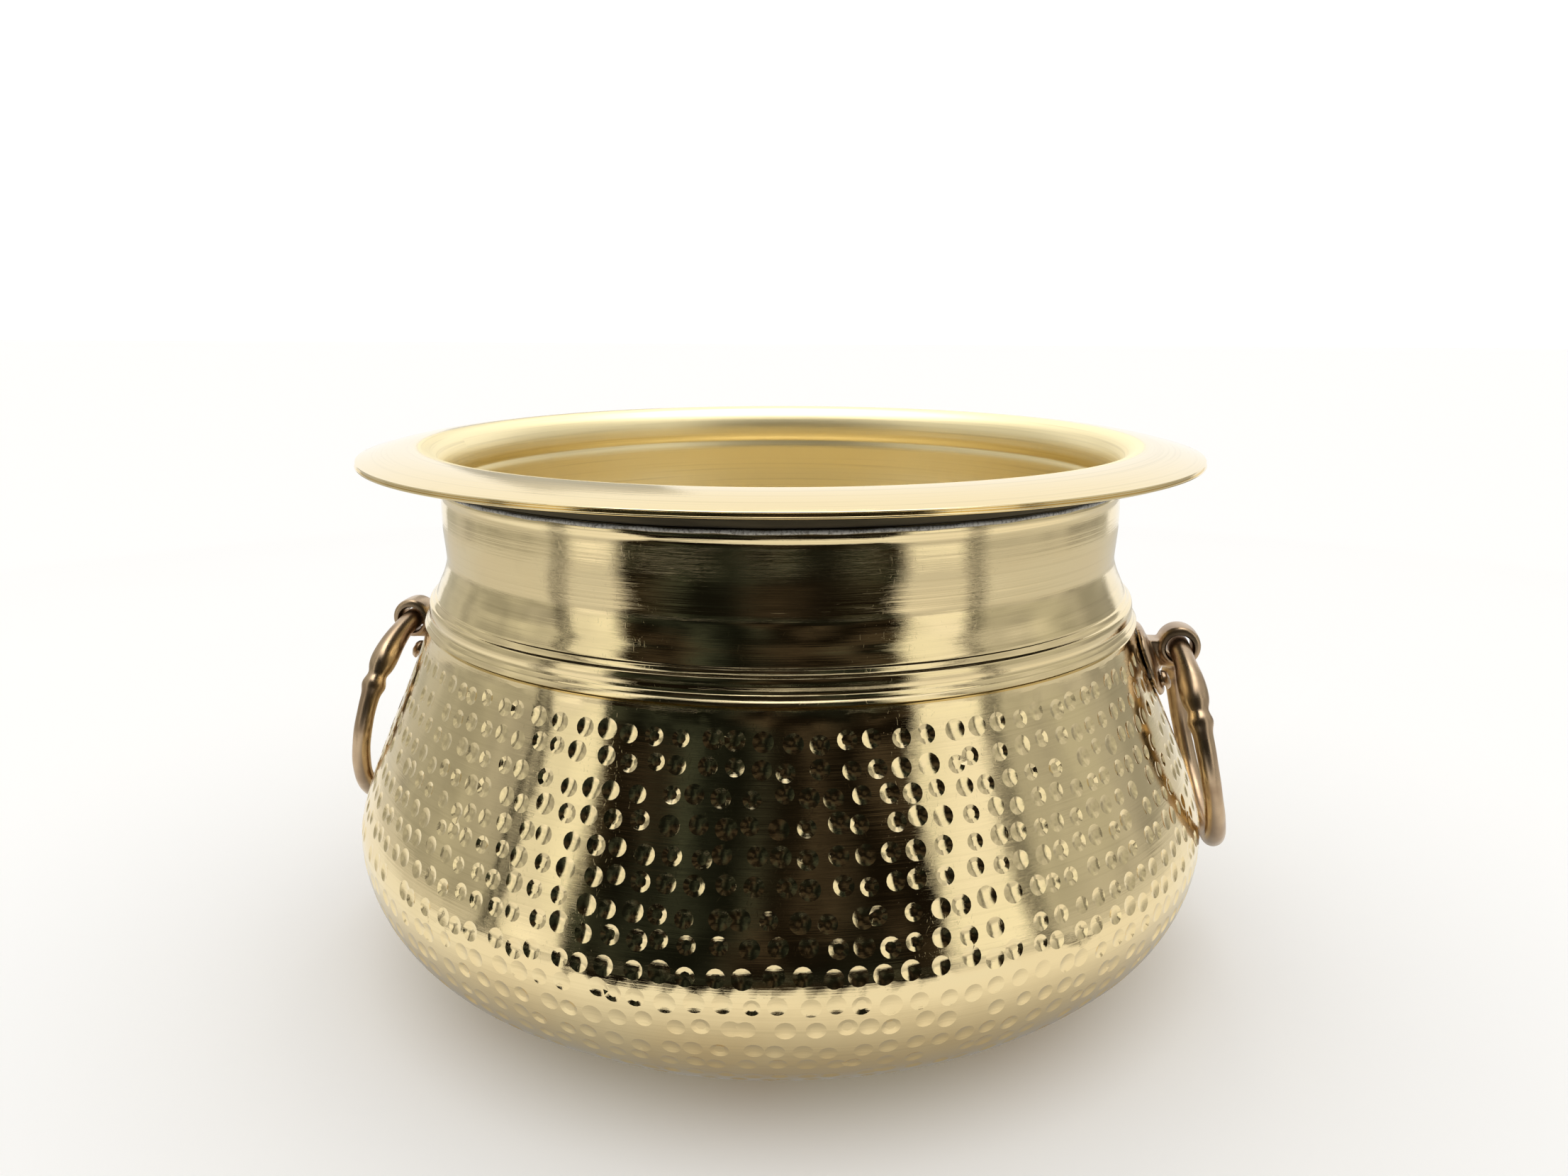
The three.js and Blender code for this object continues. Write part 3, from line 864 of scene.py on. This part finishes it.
class Shader:
    """A short way to build one material's nodes."""

    def __init__(self, name):
        self.material = bpy.data.materials.new(name)
        self.material.use_nodes = True
        self.tree = self.material.node_tree
        self.surface = self.tree.nodes["Principled BSDF"]

    def add(self, kind, **inputs):
        node = self.tree.nodes.new(kind)
        for key, value in inputs.items():
            self.set(node, key, value)
        return node

    def set(self, node, key, value):
        socket = node.inputs[key.replace("_", " ") if isinstance(key, str) else key]
        if isinstance(value, bpy.types.NodeSocket):
            self.tree.links.new(value, socket)
        else:
            socket.default_value = value

    def math(self, operation, a, b=0.0, c=0.0):
        node = self.tree.nodes.new("ShaderNodeMath")
        node.operation = operation
        for i, value in enumerate((a, b, c)):
            self.set(node, i, value)
        return node.outputs[0]

    def scale_vector(self, vector, scale):
        node = self.tree.nodes.new("ShaderNodeVectorMath")
        node.operation = "MULTIPLY"
        self.set(node, 0, vector)
        node.inputs[1].default_value = scale
        return node.outputs[0]

    def noise(self, vector, scale, detail=2.0, roughness=0.5, distortion=0.0):
        node = self.add("ShaderNodeTexNoise", Vector=vector, Scale=scale, Detail=detail,
                        Roughness=roughness, Distortion=distortion)
        return node.outputs["Fac"]

    def range(self, value, low, high, to_low, to_high):
        node = self.tree.nodes.new("ShaderNodeMapRange")
        node.interpolation_type = "SMOOTHSTEP"
        for i, item in enumerate((value, low, high, to_low, to_high)):
            self.set(node, i, item)
        return node.outputs[0]

    def blend(self, factor, a, b):
        node = self.tree.nodes.new("ShaderNodeMix")
        node.data_type = "RGBA"
        self.set(node, 0, factor)
        for i, value in ((6, a), (7, b)):
            if isinstance(value, tuple):
                value = (*value, 1.0)
            self.set(node, i, value)
        return node.outputs[2]

    def bump(self, height, strength, distance, under=None):
        node = self.add("ShaderNodeBump", Strength=strength, Distance=distance, Height=height)
        if under is not None:
            self.set(node, "Normal", under)
        return node.outputs["Normal"]

    def faces_axis(self, place):
        """1 where the surface looks towards the Z axis, as the inside of the bowl does, else 0."""
        flat = self.scale_vector(place, (1, 1, 0))
        dot = self.tree.nodes.new("ShaderNodeVectorMath")
        dot.operation = "DOT_PRODUCT"
        self.set(dot, 0, flat)
        self.set(dot, 1, self.add("ShaderNodeNewGeometry").outputs["Normal"])
        return self.range(dot.outputs["Value"], 0.01, -0.01, 0, 1)

    def turned(self):
        """Places as (angle, radius, height), for marks that a lathe leaves."""
        place = self.add("ShaderNodeTexCoord").outputs["Object"]
        split = self.add("ShaderNodeSeparateXYZ", Vector=place)
        angle = self.math("ARCTAN2", split.outputs[1], split.outputs[0])
        flat = self.math("POWER", split.outputs[0], 2.0)
        flat = self.math("ADD", flat, self.math("POWER", split.outputs[1], 2.0))
        radius = self.math("SQRT", flat)
        joined = self.add("ShaderNodeCombineXYZ", X=angle, Y=radius, Z=split.outputs[2])
        return place, joined.outputs[0], split.outputs[2]


BRIGHT_BRASS = (0.90, 0.75, 0.45)
# Painted shade: the darker amber that polished_brass blends in towards the base of the bowl.
SHADE_AMBER_BRASS = (0.80, 0.57, 0.26)
DULL_BRASS = (0.60, 0.50, 0.28)
# Painted light: the paler colour given to the inside of the bowl and neck, which look bright as light falls
# in from above.
PAINTED_LIGHT_INSIDE_BRASS = (1.0, 0.88, 0.56)
CAST_BRASS = (0.56, 0.42, 0.28)
CAST_DARK = (0.34, 0.23, 0.15)


def polished_brass(name, ring_strength, shade_below):
    """Polished sheet brass: lathe rings, stray scratches, faint haze and tarnish stains, duller inside.
    Painted shade: darker amber towards the base. Painted light: a paler colour on the inside.
    """
    s = Shader(name)
    place, turned, height = s.turned()
    haze = s.noise(place, 16, 4, 0.6, 0.4)
    blotch = s.noise(place, 48, 5, 0.62, 0.6)
    # Painted shade: the colour turns darker amber towards the base of the bowl, patchy with the haze.
    low = s.range(height, shade_below, shade_below * 0.3, 0.0, 0.95)
    amber_shade = s.math("MULTIPLY", low, s.range(haze, 0.35, 0.7, 0.2, 1.0))
    colour = s.blend(amber_shade, BRIGHT_BRASS, SHADE_AMBER_BRASS)
    stain = s.math("MULTIPLY", s.range(haze, 0.56, 0.76, 0, 1), s.range(blotch, 0.45, 0.7, 0, 0.5))
    colour = s.blend(stain, colour, DULL_BRASS)
    # Painted light: the inner side is painted paler, as if lit from above. It is also made rougher below.
    inside = s.faces_axis(place)
    colour = s.blend(inside, colour, PAINTED_LIGHT_INSIDE_BRASS)
    fine = s.noise(s.scale_vector(turned, (2.2, 5200, 5200)), 1, 3, 0.7)
    broad = s.noise(s.scale_vector(turned, (1.1, 900, 900)), 1, 2, 0.5)
    colour = s.blend(s.range(broad, 0.5, 0.8, 0, 0.25 * ring_strength), colour, DULL_BRASS)
    stray = s.noise(s.scale_vector(place, (900, 140, 420)), 1, 2, 0.8, 1.2)
    rough = s.math("ADD", s.range(haze, 0.3, 0.75, 0.035, 0.075), s.range(fine, 0.45, 0.75, 0, 0.04))
    rough = s.math("ADD", rough, s.math("MULTIPLY", inside, 0.38))
    normal = s.bump(fine, 0.5, 0.00002 * ring_strength)
    normal = s.bump(broad, 0.5, 0.00006 * ring_strength, normal)
    normal = s.bump(s.range(stray, 0.62, 0.72, 0, 1), 0.25, 0.00002, normal)
    s.set(s.surface, "Base Color", colour)
    s.surface.inputs["Metallic"].default_value = 1.0
    s.set(s.surface, "Roughness", rough)
    s.set(s.surface, "Normal", normal)
    return s.material


def cast_brass(name):
    """Cast and softly buffed brass, browner in soft clouds."""
    s = Shader(name)
    place = s.add("ShaderNodeTexCoord").outputs["Object"]
    cloud = s.noise(place, 70, 3, 0.5, 0.3)
    grain = s.noise(place, 1400, 2, 0.5)
    s.set(s.surface, "Base Color", s.blend(s.range(cloud, 0.35, 0.7, 0, 0.7), CAST_BRASS, CAST_DARK))
    s.surface.inputs["Metallic"].default_value = 1.0
    s.set(s.surface, "Roughness", s.range(cloud, 0.3, 0.7, 0.24, 0.36))
    normal = s.bump(grain, 0.15, 0.00002)
    s.set(s.surface, "Normal", s.bump(cloud, 0.3, 0.00015, normal))
    return s.material


def dark_brass(name):
    """Near-black sheet with little shine, in soft cloudy steps: painted shade under the brim."""
    s = Shader(name)
    place = s.add("ShaderNodeTexCoord").outputs["Object"]
    cloud = s.noise(place, 60, 4, 0.6)
    # Painted shade: near-black colour and weak specular stand in for the shade under the brim.
    colour = s.blend(s.range(cloud, 0.4, 0.7, 0, 1), (0.010, 0.008, 0.005), (0.030, 0.024, 0.014))
    s.set(s.surface, "Base Color", colour)
    s.surface.inputs["Specular IOR Level"].default_value = 0.08
    s.surface.inputs["Roughness"].default_value = 0.6
    return s.material


def solder_grey(name):
    """Rough grey solder with dark pits."""
    s = Shader(name)
    _, turned, _ = s.turned()
    speck = s.noise(s.scale_vector(turned, (160, 900, 900)), 1, 4, 0.7)
    colour = s.blend(s.range(speck, 0.45, 0.65, 0, 1), (0.40, 0.385, 0.35), (0.13, 0.12, 0.10))
    s.set(s.surface, "Base Color", colour)
    s.surface.inputs["Metallic"].default_value = 0.4
    s.set(s.surface, "Roughness", s.range(speck, 0.3, 0.7, 0.35, 0.6))
    s.set(s.surface, "Normal", s.bump(speck, 0.8, 0.0002))
    return s.material


# ---------------------------------------------------------------- stage, light and camera

CAMERA_AZIMUTH = math.radians(8.5)
CAMERA_YAW = math.radians(-0.14)
CAMERA_DISTANCE = 0.4708
CAMERA_HEIGHT = 0.24143
CAMERA_PITCH = math.radians(12.93)
CAMERA_LENS = 29.3
TENT_RADIUS = 0.95
DARK_FROM, DARK_TO = -49, 36.5
LEFT_SEAM, RIGHT_SEAM = -66.0, 56.5
SEAM_STEP = 1.7
SIDE_SPREAD = 72
DARK_TOP = 1.5
SIDE_TOP = 1.2
FLOOR_REACH = 6.0


def plain(name, colour, strength=None):
    """A plain matt material, or a glowing one if it has a strength."""
    material = bpy.data.materials.new(name)
    material.use_nodes = True
    tree = material.node_tree
    surface = tree.nodes["Principled BSDF"]
    if strength is None:
        surface.inputs["Base Color"].default_value = (*colour, 1)
        surface.inputs["Roughness"].default_value = 0.9
        return material
    glow = tree.nodes.new("ShaderNodeEmission")
    glow.inputs["Color"].default_value = (*colour, 1)
    glow.inputs["Strength"].default_value = strength
    tree.links.new(glow.outputs[0], tree.nodes["Material Output"].inputs["Surface"])
    return material


def staged(name, vertices, faces, material, reflected_only=True):
    mesh = bpy.data.meshes.new(name)
    mesh.from_pydata(vertices, [], faces)
    mesh.materials.append(material)
    card = bpy.data.objects.new(name, mesh)
    bpy.context.scene.collection.objects.link(card)
    if reflected_only:
        card.visible_camera = False
        card.visible_diffuse = False
        card.visible_shadow = False


def stage_point(azimuth_deg, radius, height):
    """A place round the object, by its angle from the camera's side, radius and height in metres."""
    angle = CAMERA_AZIMUTH + math.radians(azimuth_deg)
    return (radius * math.sin(angle), -radius * math.cos(angle), height)


def tent_wall(name, start_deg, end_deg, low, high, material):
    """A curved card round the object, between two angles counted from the camera's side."""
    steps = max(2, int(abs(end_deg - start_deg) / 3))
    vertices = []
    for i in range(steps + 1):
        angle = start_deg + (end_deg - start_deg) * i / steps
        vertices += [stage_point(angle, TENT_RADIUS, z) for z in (low, high)]
    faces = [(2 * i, 2 * i + 1, 2 * i + 3, 2 * i + 2) for i in range(steps)]
    staged(name, vertices, faces, material)


def glowing(name, tint, fill):
    """A card material: fill(shader, place) gives the glow's strength, tint its colour."""
    s = Shader(name)
    place = s.add("ShaderNodeTexCoord").outputs["Object"]
    glow = s.add("ShaderNodeEmission", Color=tint(s, place), Strength=fill(s, place))
    s.tree.links.new(glow.outputs[0], s.tree.nodes["Material Output"].inputs["Surface"])
    return s.material


def dim_room(name):
    """The dark side of the tent: almost black, with soft olive and brown patches."""
    def tint(s, place):
        return s.blend(s.range(s.noise(place, 1.7, 1), 0.4, 0.6, 0, 1), (0.85, 1.0, 0.75), (1.0, 0.75, 0.5))

    def fill(s, place):
        return s.range(s.noise(place, 5.0, 2, 0.5, 0.6), 0.44, 0.72, 0.007, 0.075)

    return glowing(name, tint, fill)


def soft_wall(name, low, high, level=None):
    """A side of the tent, cloudy between two strengths, and brighter above a level if there is one."""
    def tint(s, place):
        return s.blend(s.range(s.noise(place, 2.5, 1), 0.35, 0.65, 0, 1), (1, 0.97, 0.90), (0.97, 0.95, 0.84))

    def fill(s, place):
        cloud = s.range(s.noise(place, 3.4, 3, 0.5, 0.8), 0.3, 0.7, low, high)
        if level is None:
            return cloud
        height = s.add("ShaderNodeSeparateXYZ", Vector=place).outputs[2]
        return s.math("MULTIPLY", cloud, s.range(height, level - 0.06, level + 0.06, 1, 1.4))

    return glowing(name, tint, fill)


def floor_glow(name):
    """The floor as the brass reflects it: shaded under the bowl, bright round it, then dimmer."""
    def tint(s, place):
        return s.blend(s.range(s.noise(place, 4.0, 1), 0.4, 0.6, 0, 1), (1, 0.98, 0.92), (1, 0.96, 0.88))

    def fill(s, place):
        length = s.tree.nodes.new("ShaderNodeVectorMath")
        length.operation = "LENGTH"
        s.set(length, 0, place)
        distance = length.outputs["Value"]
        shade = s.range(distance, 0.12, 0.235, 0.30, 0.94)
        return s.math("MULTIPLY", shade, s.range(distance, 0.36, 0.54, 1, 0.7))

    return glowing(name, tint, fill)


def floor_patch(name, corners, height, material):
    """A flat reflected card on the floor, from its corners as (angle, radius)."""
    vertices = [stage_point(angle, radius, height) for angle, radius in corners]
    staged(name, vertices, [tuple(range(len(corners)))], material)


def build_seam(side, start, step, line, gap):
    """A double dark line up the tent's wall and out along the floor."""
    for i, material in enumerate((line, gap, line)):
        near, far = start + i * step, start + (i + 1) * step
        tent_wall(f"{side}_seam_{i}", near, far, 0.0, SIDE_TOP, material)
        if material == line:
            corners = [(near, 0.3), (near, TENT_RADIUS), (far, TENT_RADIUS), (far, 0.3)]
            floor_patch(f"{side}_floor_seam_{i}", corners, 0.001, line)


def build_tent():
    """The cards that the brass reflects: a dark front, two bright sides, two dim sides and the floor."""
    dark = dim_room("dim_room")
    bright = soft_wall("bright_card", 0.82, 1.08)
    middle = soft_wall("middle_card", 0.34, 0.56, 0.35)
    line = plain("seam_line", (0.5, 0.45, 0.3), 0.02)
    left_end = LEFT_SEAM - 3 * SEAM_STEP
    right_end = RIGHT_SEAM + 3 * SEAM_STEP
    tent_wall("opening", DARK_FROM, DARK_TO, 0.0, DARK_TOP, dark)
    tent_wall("left_front", LEFT_SEAM, DARK_FROM, 0.0, SIDE_TOP, bright)
    tent_wall("left_side", LEFT_SEAM - SIDE_SPREAD, left_end, 0.0, SIDE_TOP, middle)
    tent_wall("right_front", DARK_TO, RIGHT_SEAM, 0.0, SIDE_TOP, bright)
    tent_wall("right_side", right_end, RIGHT_SEAM + SIDE_SPREAD, 0.0, SIDE_TOP, middle)
    tent_wall("back_panel", -172, -158, 0.25, 0.7, middle)
    circle = [(angle, TENT_RADIUS) for angle in range(0, 360, 6)]
    floor_patch("floor_glow", circle, 0.0005, floor_glow("floor_glow"))
    near_edge = [(28, 0.36), (0, 0.36), (-37, 0.31), (-47.7, 0.60)]
    far_edge = [(DARK_FROM, TENT_RADIUS), (-15, TENT_RADIUS), (12, TENT_RADIUS), (DARK_TO, TENT_RADIUS)]
    floor_patch("dark_floor", [*near_edge, *far_edge, (34.9, 0.60)], 0.001, dark)
    overhead = [(angle, 0.75) for angle in range(0, 360, 10)]
    floor_patch("overhead", overhead, DARK_TOP, plain("overhead", (1, 0.98, 0.92), 3.2))
    build_seam("left", LEFT_SEAM, -SEAM_STEP, line, middle)
    build_seam("right", RIGHT_SEAM, SEAM_STEP, line, middle)


def build_stage():
    corners = [(x * FLOOR_REACH, y * FLOOR_REACH, 0) for x, y in ((-1, -1), (1, -1), (1, 1), (-1, 1))]
    floor = plain("pale_floor", (0.95, 0.947, 0.94))
    staged("floor", corners, [(0, 1, 2, 3)], floor, reflected_only=False)
    world = bpy.data.worlds.new("soft_studio")
    world.use_nodes = True
    background = world.node_tree.nodes["Background"]
    background.inputs["Color"].default_value = (1, 0.993, 0.98, 1)
    background.inputs["Strength"].default_value = 1.06
    bpy.context.scene.world = world
    build_tent()


def build_camera():
    data = bpy.data.cameras.new("camera")
    data.sensor_width = 36.0
    data.lens = CAMERA_LENS
    camera = bpy.data.objects.new("camera", data)
    bpy.context.scene.collection.objects.link(camera)
    camera.location = (CAMERA_DISTANCE * math.sin(CAMERA_AZIMUTH),
                       -CAMERA_DISTANCE * math.cos(CAMERA_AZIMUTH), CAMERA_HEIGHT)
    camera.rotation_euler = (math.pi / 2 - CAMERA_PITCH, 0, CAMERA_AZIMUTH + CAMERA_YAW)
    bpy.context.scene.camera = camera
    bpy.context.scene.view_settings.view_transform = "Standard"


build_camera()
build_stage()
# Painted shade darkens the hammered bowl below 58 mm. The spun neck starts higher and gets none.
hammered = polished_brass("hammered_brass", 1.0, 0.058)
spun = polished_brass("spun_brass", 1.4, 0.001)
cast = cast_brass("cast_brass")
build_bowl(hammered)
build_neck(spun)
build_brim_underside(dark_brass("dark_brass"))
build_solder(solder_grey("solder_grey"))
for side_name in ("right", "left"):
    build_lug(side_name, cast)
    build_ring(side_name, cast)
    build_rivets(side_name, cast)
